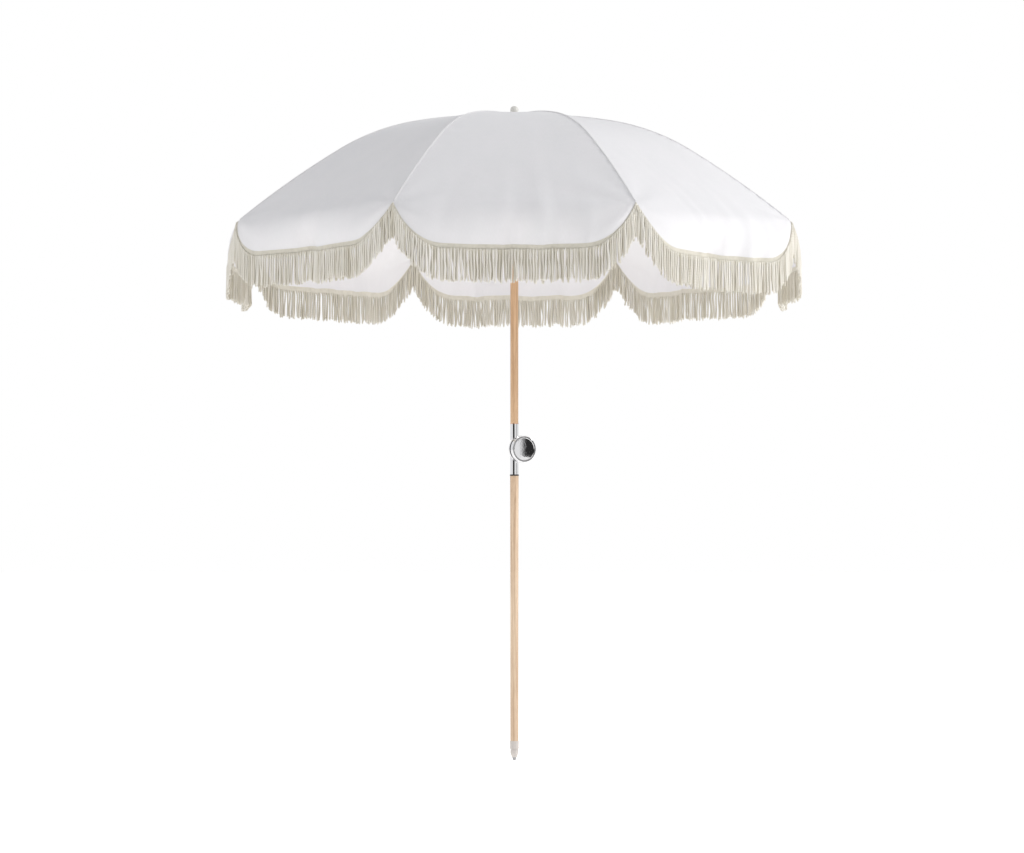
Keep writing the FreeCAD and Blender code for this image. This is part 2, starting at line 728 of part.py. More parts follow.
def panel_line(share):
    """Points (radius, height) down the cloth at a share of the way from rib to mid-panel."""
    half = math.radians(RIB_STEP / 2)
    x = 1 - share + share * math.cos(half) ** 2
    y = share * math.cos(half) * math.sin(half)
    reach = math.hypot(x, y)
    points = []
    steps = 40
    for step in range(steps + 1):
        radius = size("canopy_start") + step / steps * size("canopy_rib_end - canopy_start")
        lift = size("canopy_lift") + size("canopy_tip_lift") * radius / size("canopy_rib_end")
        points.append((radius * reach, rib_height_at(radius) + lift))
    length = size("valance_length") * fullness(share)
    first = math.radians(size("valance_start_slope"))
    last = math.radians(size("valance_end_slope") + size("valance_tuck") * share)
    radius, height = points[-1]
    for step in range(12 if length else 0):
        down = (step + 0.5) / 12
        lean = first + (last - first) * (down + share * (down - down ** 2))
        radius += length / 12 * math.cos(lean)
        height -= length / 12 * math.sin(lean)
        points.append((radius, height))
    return points


def spread(points, count):
    """The same line at equal steps along its length."""
    along = [0.0]
    for before, after in zip(points, points[1:]):
        along.append(along[-1] + math.dist(before, after))
    result = []
    for step in range(count):
        target = along[-1] * step / (count - 1)
        place = max(index for index, done in enumerate(along[:-1]) if done <= target + 1e-9)
        share = (target - along[place]) / (along[place + 1] - along[place])
        result.append(tuple(a + share * (b - a) for a, b in zip(points[place], points[place + 1])))
    return result


def inside(points, gap):
    """The line moved inwards, square to itself."""
    result = []
    for index, (radius, height) in enumerate(points):
        before = points[max(index - 1, 0)]
        after = points[min(index + 1, len(points) - 1)]
        length = math.dist(before, after)
        run, fall = (after[0] - before[0]) / length, (after[1] - before[1]) / length
        result.append((radius + fall * gap, height - run * gap))
    return result


def half_panel(side):
    """One half panel in the rib's frame: cloth, hem band and fringe skirt as one closed solid."""
    half = RIB_STEP / 2
    wires = []
    for share in (0.0, 0.03, 0.08, 0.15, 0.24, 0.36, 0.55, 0.78, 1.0):
        outer = spread(panel_line(share), 15)
        inner = inside(outer, size("canopy_thickness"))
        drop = size("band_height + fringe_length")
        thin, thick = size("canopy_thickness"), size("fringe_thickness")
        inner_edge = outer[-1][0] - thin - (thick - thin) * fullness(share)
        inner = inner[:-1] + [(inner_edge, outer[-1][1] + 1)]
        angle = math.degrees(math.atan2(share * math.cos(math.radians(half)) * math.sin(math.radians(half)),
                                        1 - share * math.sin(math.radians(half)) ** 2))
        angle = min(max(angle, 0.015), half - 0.015)
        turn = math.radians(side * angle)

        def place(point):
            return FreeCAD.Vector(point[0] * math.cos(turn), point[0] * math.sin(turn), point[1])

        top = Part.BSplineCurve()
        top.interpolate([place(point) for point in outer])
        under = Part.BSplineCurve()
        under.interpolate([place(point) for point in reversed(inner)])
        foot_out = place((outer[-1][0], outer[-1][1] - drop))
        foot_in = place((inner_edge, outer[-1][1] - drop))
        edges = [top.toShape(),
                 Part.makeLine(place(outer[-1]), foot_out),
                 Part.makeLine(foot_out, foot_in),
                 Part.makeLine(foot_in, place(inner[-1])),
                 under.toShape(),
                 Part.makeLine(place(inner[0]), place(outer[0]))]
        wires.append(Part.Wire(edges))
    solid = Part.makeLoft(wires, True, True)
    if solid.Volume < 0:
        solid.reverse()
    return solid


half_panels = {"left": half_panel(1), "right": half_panel(-1)}

for rib in range(RIBS):
    turn = about_z(FIRST_RIB + rib * RIB_STEP)
    name = rib + 1
    bar = make_rib(f"rib_{name}")
    bar.Placement = turn
    nodes.append(bar)
    fittings = doc.addObject("Part::Compound", f"rib_{name}_fittings")
    fittings.Links = [bracket, bracket_pin, tip_cap]
    fittings.Placement = turn
    nodes.append(fittings)
    stretcher = make_stretcher(f"stretcher_{name}")
    stretcher.Placement = turn * stretcher_place
    nodes.append(stretcher)
    for side, solid in half_panels.items():
        cloth = doc.addObject("Part::Feature", f"canopy_{name}_{side}")
        cloth.Shape = solid
        cloth.Placement = turn
        nodes.append(cloth)

# ---- checks and files ------------------------------------------------------------------------
doc.recompute()
for item in doc.Objects:
    if "Invalid" in item.State or "Error" in item.State:
        raise RuntimeError(f"{item.Label} failed: {item.State}")
for node in nodes:
    if node.Shape.isNull() or not node.Shape.isValid() or not node.Shape.Solids:
        raise RuntimeError(f"{node.Label} has no valid solid")

os.makedirs("parts", exist_ok=True)
for node in nodes:
    node.Shape.exportStep(f"parts/{node.Label}.step")
    box = node.Shape.BoundBox
    print(f"{node.Label}: {len(node.Shape.Solids)} solid(s), {node.Shape.Volume:.0f} mm3, "
          f"z {box.ZMin:.1f} to {box.ZMax:.1f}")
print(len(nodes), "sub-parts")
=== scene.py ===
"""Looks of the beach umbrella: cloth, seams, hem tape, cord fringe and finishes round its CAD frame.

Metres. +Z runs up the pole and -Y is the front. Panel N lies between rib N and rib N + 1.
"""

import json
import math

import bpy
import numpy as np
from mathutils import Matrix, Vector


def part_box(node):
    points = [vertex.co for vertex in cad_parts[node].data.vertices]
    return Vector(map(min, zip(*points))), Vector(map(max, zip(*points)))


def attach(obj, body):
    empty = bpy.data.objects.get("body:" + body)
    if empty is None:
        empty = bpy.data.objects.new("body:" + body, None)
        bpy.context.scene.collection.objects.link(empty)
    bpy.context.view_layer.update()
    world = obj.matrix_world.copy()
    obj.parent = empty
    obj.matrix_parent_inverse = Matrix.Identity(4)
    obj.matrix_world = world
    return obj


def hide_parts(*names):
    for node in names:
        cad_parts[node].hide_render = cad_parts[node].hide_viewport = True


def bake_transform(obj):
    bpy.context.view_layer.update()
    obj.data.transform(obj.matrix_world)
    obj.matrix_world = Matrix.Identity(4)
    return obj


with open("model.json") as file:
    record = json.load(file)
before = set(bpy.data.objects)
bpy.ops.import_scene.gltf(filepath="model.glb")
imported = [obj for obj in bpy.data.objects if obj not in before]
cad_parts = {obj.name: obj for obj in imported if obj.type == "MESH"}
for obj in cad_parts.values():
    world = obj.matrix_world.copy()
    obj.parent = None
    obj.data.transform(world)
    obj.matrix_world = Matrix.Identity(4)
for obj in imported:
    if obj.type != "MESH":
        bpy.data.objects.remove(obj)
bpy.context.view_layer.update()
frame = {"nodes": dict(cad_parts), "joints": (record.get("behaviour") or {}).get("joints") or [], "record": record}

RIBS = 8
HALF = math.pi / RIBS  # half a panel's angle
JOINTS = {joint["name"]: joint for joint in frame["joints"]}

# Rib line: (distance from the pole, slope in degrees) where its three arcs begin and end.
RIB_STOPS = ((0.026, 1.0), (0.370, 12.0), (0.655, 32.5), (1.000, 39.5))
RIB_HEIGHT = JOINTS["rib_1_fold"]["pos_m"][2]

# Cloth over the ribs. Its two lifts are how far it lies above the rib's centre line, at the crown and added
# by the rib's tip.
CLOTH_LIFT = 0.007
CLOTH_TIP_LIFT = 0.0016
CLOTH_START = 0.036
CLOTH_END = 1.014
CLOTH_THICKNESS = 0.0009
CLOTH_STEPS = 161
HALF_CHORD = 0.388  # half a panel's width at the rib tips
HEM_RISE = {5: 0.022, 7: -0.004}  # how much higher than the others a panel's hem hangs
HEM_RISE_REACH = 0.26  # the length of cloth above the hem that shares that rise

# Valance: the cloth below the rib tips. Slopes are in degrees, and the tuck is what mid-panel turns further.
VALANCE_LENGTH = 0.147
VALANCE_SLOPES = (42.0, 88.0)
VALANCE_TUCK = 27.0
VALANCE_STEPS = 24
FULL_SHARE = 0.45  # the share of the way to mid-panel where the valance reaches its full length
FULL_POWER = 2.2

# Grid of a half panel. Its columns stand closer together by the rib.
ROWS = 92
COLUMNS = 28
COLUMN_POWER = 1.35
SHARES = (np.arange(COLUMNS + 1) / COLUMNS) ** COLUMN_POWER

# Slack, folds, pulls and pucker of a panel.
SLACK = 0.0045
FOLDS = 9
FOLD_PLACE = 0.72  # furthest from mid-panel, as a share of the half panel
FOLD_WIDTHS = (0.028, 0.065)
FOLD_REACHES = (0.06, 0.20)
FOLD_HEIGHTS = (0.0050, 0.0105)
FOLD_LEAN = 0.5
PULL_HEIGHT = 0.0036
PULL_REACH = 0.20
PULLS_ROUND_TIP = 8
PUCKER_HEIGHT = 0.0010
PUCKER_PITCH = 0.055
PUCKER_REACH = 0.03
SEAM_REACH = 0.006  # how far beside the seam the cloth is held flat

# Hem tape.
BAND_WIDTH = 0.018
BAND_THICKNESS = 0.0018
BAND_ROWS = 9
BAND_END_SLOPE = 91.0
BAND_OVERLAP = 0.0015  # how far its upper edge reaches up over the cloth's
BAND_MOST_STRETCH = 1.5  # the widest that it gets where the hem is steep, as a multiple of its width
BAND_BEAD = 0.00025  # the raised edge that the stitches hold
STITCHED_ROWS = (1, BAND_ROWS - 2)

# Fringe cords.
CORD_FOOT_ROW = 6
CORD_PITCH = 0.0052
CORD_LENGTH = 0.108
CORD_LENGTHS = (0.91, 1.04)  # shortest and longest, as shares
CORD_RADIUS = 0.0034
CORD_ROWS = 36
CORD_SIDES = 6
CORD_SHIFT = 0.0010
CORD_SWAY = 0.0030
CORD_WAVE = 0.0010
CORD_PUSH = (0.0010, 0.0025)  # mean and spread of how far a cord's end stands outwards
CORD_STAND_OFF = 0.0030
CORD_LAYER = 0.0050  # how far every other cord lies behind its neighbours
PLY_PITCH = 0.0088
PLY_DEPTH = 0.16

STITCH_PITCH = 0.0036
STITCH_FILL = 0.62  # a stitch's length as a share of the pitch
STITCH_WIDTH = 0.0009
STITCH_HEIGHT = 0.0007

# Rib seam: (distance from the rib's line, height above the cloth) from its edge to its piped ridge.
SEAM_PROFILE = ((0.0064, -0.0002), (0.0062, 0.0008), (0.0050, 0.0013), (0.0020, 0.0013), (0.0011, 0.0022),
                (0.0, 0.0026))
SEAM_DEPTH = 0.0004
SEAM_CLOTH_WIDTH = 0.016
SEAM_STITCHES = (0.0040, 0.0014)

# Crown cover: the radii of its rings between its hole and its edge.
CROWN_HOLE = 0.0068
CROWN_RINGS = (0.014, 0.022, 0.028, 0.034, 0.040, 0.045, 0.0485, 0.0505)
CROWN_EDGE = 0.0004
CROWN_SIDES = 96
CROWN_THICKNESS = 0.0008
CROWN_DROP = 0.0012
CROWN_RUFFLE = 0.00012
CROWN_STITCHED_ROWS = (-4, 3)

KNOB_DOME = 0.45  # how fast the knob's polished face falls away from its centre, per metre


# ---- materials -----------------------------------------------------------------------------
class Look:
    """A material with one Principled shader, built up node by node.

    A value given for a socket is a number, a colour or another node's output.
    """

    def __init__(self, name, **sockets):
        self.material = bpy.data.materials.new(name)
        self.material.use_nodes = True
        self.tree = self.material.node_tree
        self.shader = self.tree.nodes["Principled BSDF"]
        self.fill(self.shader, sockets)

    def fill(self, node, sockets):
        for name, value in sockets.items():
            socket = node.inputs[name.replace("_", " ")]
            if isinstance(value, bpy.types.NodeSocket):
                self.tree.links.new(value, socket)
            else:
                socket.default_value = value

    def add(self, kind, out=0, settings=None, **sockets):
        """A new node with its settings and sockets filled. Gives one of its outputs."""
        node = self.tree.nodes.new("ShaderNode" + kind)
        for name, value in (settings or {}).items():
            setattr(node, name, value)
        self.fill(node, sockets)
        return node.outputs[out]

    def place(self, source, scale, location=(0, 0, 0), rotation=(0, 0, 0), inverse=False):
        """Object or UV coordinates, scaled and turned. scale says how fast they run along each axis."""
        coordinates = self.add("TexCoord", out=source)
        kind = {"vector_type": "TEXTURE" if inverse else "POINT"}
        return self.add("Mapping", settings=kind, Vector=coordinates, Scale=scale, Location=location,
                        Rotation=rotation)

    def noise(self, vector, scale, detail=3.0, roughness=0.55):
        return self.add("TexNoise", Vector=vector, Scale=scale, Detail=detail, Roughness=roughness)

    def spread(self, value, low, high, from_low=0.3, from_high=0.7):
        """A value between from_low and from_high, spread out between low and high."""
        return self.add("MapRange", Value=value, From_Min=from_low, From_Max=from_high, To_Min=low,
                        To_Max=high)

    def mix(self, share, first, second, blend="MIX"):
        return self.add("MixRGB", settings={"blend_type": blend}, Fac=share, Color1=first, Color2=second)

    def calculate(self, operation, first, second):
        node = self.tree.nodes.new("ShaderNodeMath")
        node.operation = operation
        for socket, value in zip(node.inputs, (first, second)):
            if isinstance(value, bpy.types.NodeSocket):
                self.tree.links.new(value, socket)
            else:
                socket.default_value = value
        return node.outputs[0]

    def bump(self, height, distance, strength=1.0, under=None):
        """Surface relief, distance metres deep, over the relief given as under."""
        sockets = {"Height": height, "Distance": distance, "Strength": strength}
        if under is not None:
            sockets["Normal"] = under
        return self.add("Bump", **sockets)

    def finish(self, **sockets):
        self.fill(self.shader, sockets)
        return self.material


UV, OBJECT = 2, 3  # outputs of a Texture Coordinate node
WAVE_PERIOD = 0.3142  # length of one band of a wave texture of scale 1


def colour(red, green, blue):
    """A colour from its display values, 0 to 255."""
    def linear(value):
        value /= 255
        return value / 12.92 if value <= 0.04045 else ((value + 0.055) / 1.055) ** 2.4
    return (linear(red), linear(green), linear(blue), 1.0)


def weave(look, pitch):
    """Height of a plain weave over the UV map: two sets of threads that pass over and under."""
    across, down = (look.add("TexWave", out=1, settings={"bands_direction": axis},
                             Vector=look.place(UV, (1, 1, 1)), Scale=WAVE_PERIOD / pitch, Distortion=0.6,
                             Detail=1.0) for axis in "XY")
    return look.calculate("MULTIPLY", across, down)


def cloth_look():
    """Plain-woven canvas with uneven threads and soft creases."""
    look = Look("canopy_canvas", Roughness=0.82, Sheen_Weight=0.25, Sheen_Roughness=0.5)
    threads = weave(look, pitch=0.0011)
    slubs = look.noise(look.place(UV, (900, 60, 1)), 1.0, detail=2.0)
    slack = look.noise(look.place(UV, (9, 5, 1)), 1.0, detail=3.0)
    shade = look.mix(look.spread(slubs, 0.0, 1.0), colour(240, 238, 240), colour(235, 233, 234))
    shade = look.mix(look.spread(slack, 0.0, 0.5), shade, colour(231, 231, 232))
    creases = look.bump(slack, distance=0.006, strength=0.30)
    relief = look.bump(threads, distance=0.0002, strength=0.5, under=creases)
    return look.finish(Base_Color=shade, Normal=relief)


def tape_look():
    """Ribbed cotton tape."""
    look = Look("hem_tape", Roughness=0.85, Sheen_Weight=0.2)
    ribs = look.add("TexWave", out=1, settings={"bands_direction": "DIAGONAL"},
                    Vector=look.place(UV, (260, 260, 1)), Scale=1.0, Distortion=0.8, Detail=1.0)
    wear = look.noise(look.place(UV, (60, 60, 1)), 1.0)
    shade = look.mix(look.spread(wear, 0.0, 1.0), colour(238, 233, 219), colour(222, 217, 203))
    shade = look.mix(look.spread(ribs, 0.0, 0.35, 0.0, 1.0), shade, colour(197, 191, 175))
    return look.finish(Base_Color=shade, Normal=look.bump(ribs, distance=0.0006, strength=0.8))


def cord_look():
    """Two-ply twisted cotton cord, its tone differing from cord to cord, with painted shade on the back row and
    between the plies.
    """
    look = Look("fringe_cord", Roughness=0.8, Sheen_Weight=0.3, Sheen_Roughness=0.4)
    tone_and_shade = look.add("Attribute", out=2, settings={"attribute_name": "tone_and_shade"})
    twist = (0.4 * math.pi, -0.2 * math.pi / PLY_PITCH, 0)
    plies = look.add("TexWave", out=1, settings={"bands_direction": "DIAGONAL"}, Vector=look.place(UV, twist),
                     Scale=1.0)
    fibres = look.noise(look.place(UV, (14, 900, 1)), 1.0)
    # Each cord's own tone, with painted shade that darkens the cords of the back row.
    shade = look.mix(tone_and_shade, colour(254, 251, 243), colour(212, 206, 189))
    # Painted shade: the grooves between the plies are painted darker.
    shade = look.mix(look.spread(plies, 0.0, 0.30, 0.6, 0.05), shade, colour(158, 148, 130))
    shade = look.mix(look.spread(fibres, 0.0, 0.2), shade, colour(212, 204, 188))
    return look.finish(Base_Color=shade, Normal=look.bump(plies, distance=0.0008, strength=0.7))


def thread_look():
    """Sewing thread with uneven strands."""
    look = Look("sewing_thread", Roughness=0.6, Sheen_Weight=0.2)
    strands = look.noise(look.place(OBJECT, (900, 900, 900)), 1.0)
    return look.finish(Base_Color=look.mix(strands, colour(238, 236, 230), colour(214, 211, 203)))


def wood_look(name, light, dark, seed):
    """Turned wood under a thin coat: long grain, broad figure, fine pores and uneven wear."""
    look = Look(name, Coat_Weight=0.18, Coat_Roughness=0.32, Specular_IOR_Level=0.4)
    grain = look.noise(look.place(OBJECT, (170, 170, 3.2), (seed, 0, 0)), 1.0, detail=5.0, roughness=0.6)
    figure = look.noise(look.place(OBJECT, (34, 34, 1.1), (0, seed, 0)), 1.0, detail=2.0)
    pores = look.noise(look.place(OBJECT, (1500, 1500, 26)), 1.0, detail=1.0)
    shade = look.mix(look.spread(figure, 0.0, 1.0, 0.35, 0.68), light, dark)
    darker = look.mix(1.0, shade, colour(206, 190, 176), "MULTIPLY")
    shade = look.mix(look.spread(grain, 0.0, 0.75, 0.42, 0.66), shade, darker)
    shade = look.mix(look.spread(pores, 0.0, 0.35, 0.58, 0.7), shade, colour(128, 92, 60))
    wear = look.spread(look.noise(look.place(OBJECT, (22, 22, 9)), 1.0), 0.40, 0.58)
    relief = look.bump(grain, distance=0.0003, strength=0.5)
    return look.finish(Base_Color=shade, Roughness=wear, Normal=relief)


def plastic_look(name, base, roughness, scuffed):
    """Moulded plastic: fine grain, and scuffs where it is handled."""
    look = Look(name)
    grain = look.noise(look.place(OBJECT, (2400, 2400, 2400)), 1.0, detail=1.0)
    scuffs = look.noise(look.place(OBJECT, (160, 160, 420)), 1.0, detail=4.0, roughness=0.7)
    worn = look.spread(scuffs, 0.0, 0.65, 0.5, 0.75)
    shade = look.mix(worn, base, scuffed)
    rough = look.spread(scuffs, roughness - 0.08, roughness + 0.16)
    relief = look.bump(grain, distance=0.00012, strength=0.5)
    return look.finish(Base_Color=shade, Roughness=rough, Normal=relief)


def turned_face(look, centre, rotation):
    """Scratches and relief of a disc turned about its own axis: rings, over a shallow dome."""
    rings = look.place(OBJECT, (1, 1, 1), centre, rotation, inverse=True)
    scratches = look.add("TexWave", out=1, settings={"wave_type": "RINGS", "rings_direction": "Z"},
                         Vector=rings, Scale=420.0, Distortion=1.5, Detail=2.0)
    radius = look.add("VectorMath", out=1, settings={"operation": "LENGTH"}, Vector=rings)
    height = look.calculate("MULTIPLY", look.calculate("POWER", radius, 2.0), -KNOB_DOME)
    dome = look.bump(height, distance=1.0)
    waves = look.noise(look.place(OBJECT, (70, 70, 70)), 1.0, detail=2.0)
    return scratches, look.bump(waves, distance=0.0001, under=dome)


def metal_look(name, base, roughness, metallic=1.0, scratch=(60, 60, 900), face=None):
    """Metal, or paint over it, between two roughnesses. face is a turned face's centre and rotation."""
    look = Look(name, Metallic=metallic)
    if face:
        scratches, dome = turned_face(look, *face)
        depth = 0.000001
    else:
        scratches, dome = look.noise(look.place(OBJECT, scratch), 1.0, detail=3.0), None
        depth = 0.00006
    smudges = look.noise(look.place(OBJECT, (55, 55, 40)), 1.0, detail=3.0)
    rough = look.spread(smudges, *roughness, 0.35, 0.75)
    scratched = tuple(0.8 * part for part in base[:3]) + (1.0,)
    shade = look.mix(look.spread(scratches, 0.0, 0.25), base, scratched)
    relief = look.bump(scratches, distance=depth, strength=0.25, under=dome)
    return look.finish(Base_Color=shade, Roughness=rough, Normal=relief)


knob_joint = JOINTS["clamp_turn"]
knob_turn = math.atan2(knob_joint["axis"][0], -knob_joint["axis"][1])
KNOB_FACE = (tuple(knob_joint["pos_m"]), (math.pi / 2, 0.0, knob_turn))

CLOTH, TAPE, CORD, THREAD = cloth_look(), tape_look(), cord_look(), thread_look()
FINISHES = {
    "tip_point": plastic_look("tip_point_plastic", colour(168, 168, 170), 0.5, colour(120, 118, 112)),
    "tip_collar": plastic_look("tip_collar_plastic", colour(210, 203, 198), 0.36, colour(180, 172, 164)),
    "lower_wood": wood_look("lower_wood_beech", colour(236, 212, 184), colour(216, 186, 156), seed=3.0),
    # Painted shade: the upper pole's copy of the beech is painted darker than the lower pole's, for the canopy's
    # shade.
    "upper_wood": wood_look("upper_wood_beech_painted_shade", colour(224, 188, 150), colour(198, 156, 118), seed=11.0),
    "black_ring": plastic_look("black_ring_plastic", colour(30, 30, 31), 0.38, colour(52, 51, 50)),
    "chrome": metal_look("chrome_plate", (0.86, 0.86, 0.87, 1.0), (0.03, 0.10)),
    "fibre_washer": plastic_look("washer_fibre", colour(52, 48, 44), 0.7, colour(84, 78, 70)),
    "steel": metal_look("bolt_steel", (0.56, 0.57, 0.58, 1.0), (0.28, 0.42)),
    "knob_face": metal_look("knob_face_metal", (0.80, 0.80, 0.81, 1.0), (0.02, 0.07), face=KNOB_FACE),
    "trim_ring": metal_look("trim_ring_brass", (0.78, 0.50, 0.36, 1.0), (0.22, 0.36)),
    "white_plastic": plastic_look("white_nylon", colour(226, 224, 218), 0.4, colour(206, 203, 195)),
    "grey_plastic": plastic_look("button_plastic", colour(160, 160, 162), 0.42, colour(132, 132, 132)),
    "fittings": plastic_look("black_nylon", colour(40, 40, 42), 0.45, colour(66, 65, 64)),
    "rib_paint": metal_look("rib_paint", (0.80, 0.80, 0.79, 1.0), (0.32, 0.46), metallic=0.0,
                            scratch=(300, 300, 300)),
    "canopy": CLOTH,
}


# ---- meshes --------------------------------------------------------------------------------
def new_object(name, vertices, faces, material, uv=None, tone_and_shade=None):
    """A smooth mesh object. uv and tone have one row for each vertex."""
    faces = faces.tolist() if isinstance(faces, np.ndarray) else faces
    mesh = bpy.data.meshes.new(name)
    mesh.from_pydata(np.asarray(vertices, float).tolist(), [], faces)
    mesh.shade_smooth()
    corners = np.empty(len(mesh.loops), np.int32)
    mesh.loops.foreach_get("vertex_index", corners)
    if uv is not None:
        layer = mesh.uv_layers.new(name="UVMap")
        layer.data.foreach_set("uv", np.asarray(uv, np.float32)[corners].ravel())
    if tone_and_shade is not None:
        mesh.attributes.new("tone_and_shade", "FLOAT", "POINT").data.foreach_set("value", np.asarray(tone_and_shade, np.float32))
    mesh.materials.append(material)
    made = bpy.data.objects.new(name, mesh)
    bpy.context.scene.collection.objects.link(made)
    return made


def grid_faces(rows, columns, start=0, flip=False):
    """Quads over a grid of points numbered row by row."""
    i, j = np.meshgrid(np.arange(rows - 1), np.arange(columns - 1), indexing="ij")
    first = (start + i * columns + j).ravel()
    quads = np.stack([first, first + columns, first + columns + 1, first + 1], axis=1)
    return quads[:, ::-1] if flip else quads


def shell(name, outer, inner, normals, uv, material):
    """A closed sheet between two grids of points, smooth on both faces and square at its edges."""
    rows, columns = outer.shape[:2]
    count = rows * columns
    index = np.arange(count).reshape(rows, columns)
    rims = []
    for edge, turned in ((index[0], False), (index[-1], True), (index[:, 0], True), (index[:, -1], False)):
        a, b = (edge[1:], edge[:-1]) if turned else (edge[:-1], edge[1:])
        rims.append(np.stack([a, b, b + count, a + count], axis=1))
    upper, lower = grid_faces(rows, columns), grid_faces(rows, columns, count, flip=True)
    faces = np.concatenate([upper, lower, *rims])
    points = np.concatenate([outer.reshape(-1, 3), inner.reshape(-1, 3)])
    sheet = new_object(name, points, faces, material, np.tile(uv.reshape(-1, 2), (2, 1)))
    flat = normals.reshape(-1, 3)
    sides = 2 * (rows - 1) * (columns - 1)
    loop_normals = np.concatenate([flat, -flat])[faces[:sides].ravel()]
    edge_normals = np.repeat([polygon.normal[:] for polygon in sheet.data.polygons[sides:]], 4, axis=0)
    sheet.data.normals_split_custom_set(np.concatenate([loop_normals, edge_normals]).tolist())
    return sheet


def unit(vectors):
    return vectors / np.maximum(np.linalg.norm(vectors, axis=-1, keepdims=True), 1e-12)


def grid_normals(points):
    """Outward directions of a grid whose rows run down the cloth and whose columns run round the pole."""
    down = np.gradient(points, axis=0)
    across = np.gradient(points, axis=1)
    return unit(np.cross(down, across))


def stitches(centres, along, up):
    """Points and faces of sewn stitches, each a small eight-sided spindle."""
    along, up = unit(along), unit(up)
    side = np.cross(along, up)
    halves = (along * STITCH_PITCH * STITCH_FILL / 2, side * STITCH_WIDTH / 2, up * STITCH_HEIGHT)
    points = np.stack([centres + sign * half for half in halves for sign in (1, -1)], axis=1).reshape(-1, 3)
    upper = [[0, 2, 4], [2, 1, 4], [1, 3, 4], [3, 0, 4]]
    lower = [[2, 0, 5], [1, 2, 5], [3, 1, 5], [0, 3, 5]]
    spindle = np.array(upper + lower)
    faces = (spindle[None] + 6 * np.arange(len(centres))[:, None, None]).reshape(-1, 3)
    return points, faces


def sample(values, run, places):
    """The rows of values at given distances along a line, where run is each row's own distance."""
    return np.stack([np.interp(places, run, values[:, axis]) for axis in range(3)], axis=1)


def distances(line):
    """How far along a line each of its points is."""
    return np.append(0, np.cumsum(np.linalg.norm(np.diff(line, axis=0), axis=1)))


def stitch_row(line, up):
    """Stitches at equal steps down a line of points."""
    run = distances(line)
    places = np.arange(STITCH_PITCH / 2, run[-1], STITCH_PITCH)
    centres = sample(line, run, places)
    beyond = sample(line, run, np.minimum(places + 0.0005, run[-1]))
    before = sample(line, run, np.maximum(places - 0.0005, 0))
    return stitches(centres, beyond - before, sample(up, run, places))


def add_stitches(made, rows):
    """Joins rows of stitches into a piece, in sewing thread."""
    points, faces, start = [], [], 0
    for row_points, row_faces in rows:
        points.append(row_points)
        faces.append(row_faces + start)
        start += len(row_points)
    thread = new_object(made.name + "_thread", np.concatenate(points), np.concatenate(faces), THREAD)
    with bpy.context.temp_override(active_object=made, selected_editable_objects=[made, thread]):
        bpy.ops.object.join()


# ---- canopy shape --------------------------------------------------------------------------
def rib_heights(radius):
    """Height of a rib's centre line at each distance from the pole, carried on past the rib's end."""
    height = np.full(np.shape(radius), RIB_HEIGHT)
    for (start, lean), (end, turn) in zip(RIB_STOPS, RIB_STOPS[1:]):
        lean, turn = math.radians(lean), math.radians(turn)
        arc = (end - start) / (math.sin(turn) - math.sin(lean))
        last = end == RIB_STOPS[-1][0]
        reached = np.clip(radius, start, None if last else end)
        height -= arc * (math.cos(lean) - np.cos(np.arcsin(math.sin(lean) + (reached - start) / arc)))
    return height


def fullness(share):
    """How much of the valance there is, at a share of the way from rib to mid-panel."""
    return 1 - (1 - min(share / FULL_SHARE, 1.0)) ** FULL_POWER


def column(share):
    """(distances from the pole, heights, distances down the cloth) at a share of the way to mid-panel."""
    reach = math.hypot(1 - share * math.sin(HALF) ** 2, share * math.cos(HALF) * math.sin(HALF))
    radius = np.linspace(CLOTH_START, CLOTH_END, CLOTH_STEPS)
    out, up = radius * reach, rib_heights(radius) + CLOTH_LIFT + CLOTH_TIP_LIFT * radius / CLOTH_END
    if share:
        down = (np.arange(VALANCE_STEPS) + 0.5) / VALANCE_STEPS
        first, last = np.radians(VALANCE_SLOPES) + (0, math.radians(VALANCE_TUCK) * share)
        slopes = first + (last - first) * (down + share * (down - down ** 2))
        step = VALANCE_LENGTH * fullness(share) / VALANCE_STEPS
        out = np.append(out, out[-1] + np.cumsum(step * np.cos(slopes)))
        up = np.append(up, up[-1] - np.cumsum(step * np.sin(slopes)))
    run = np.append(0, np.cumsum(np.hypot(np.diff(out), np.diff(up))))
    places = np.linspace(0, run[-1], ROWS)
    return np.interp(places, run, out), np.interp(places, run, up), places


def whole_panel(half, sign=1):
    """A grid of values from rib to mid-panel, carried on to the next rib."""
    return np.concatenate([half, sign * half[:, -2::-1]], axis=1)


# Every panel's plain shape, as grids: distance from the pole, height, distance down the cloth, place across
# the panel (-1 and 1 at its ribs, 0 at its middle) and angle from its middle.
PLAIN = [np.array(part).T for part in zip(*[column(share) for share in SHARES])]
DISTANCE, HEIGHT, ALONG = (whole_panel(part) for part in PLAIN)
ACROSS = whole_panel(np.tile(SHARES - 1, (ROWS, 1)), -1)
FROM_MID = np.arctan2(SHARES * math.cos(HALF) * math.sin(HALF), 1 - SHARES * math.sin(HALF) ** 2) - HALF
ANGLE = whole_panel(np.tile(FROM_MID, (ROWS, 1)), -1)


def folds(rng):
    """Soft folds that run up from the hem, in and out by turns."""
    to_hem = ALONG[-1] - ALONG
    lift = 0
    for fold in range(FOLDS):
        place, width = rng.uniform(-FOLD_PLACE, FOLD_PLACE), rng.uniform(*FOLD_WIDTHS)
        reach, height = rng.uniform(*FOLD_REACHES), (-1) ** fold * rng.uniform(*FOLD_HEIGHTS)
        lean = rng.uniform(-FOLD_LEAN, FOLD_LEAN)
        lift += height * np.exp(-((ACROSS - place - lean * to_hem) / width) ** 2 - to_hem / reach)
    return lift


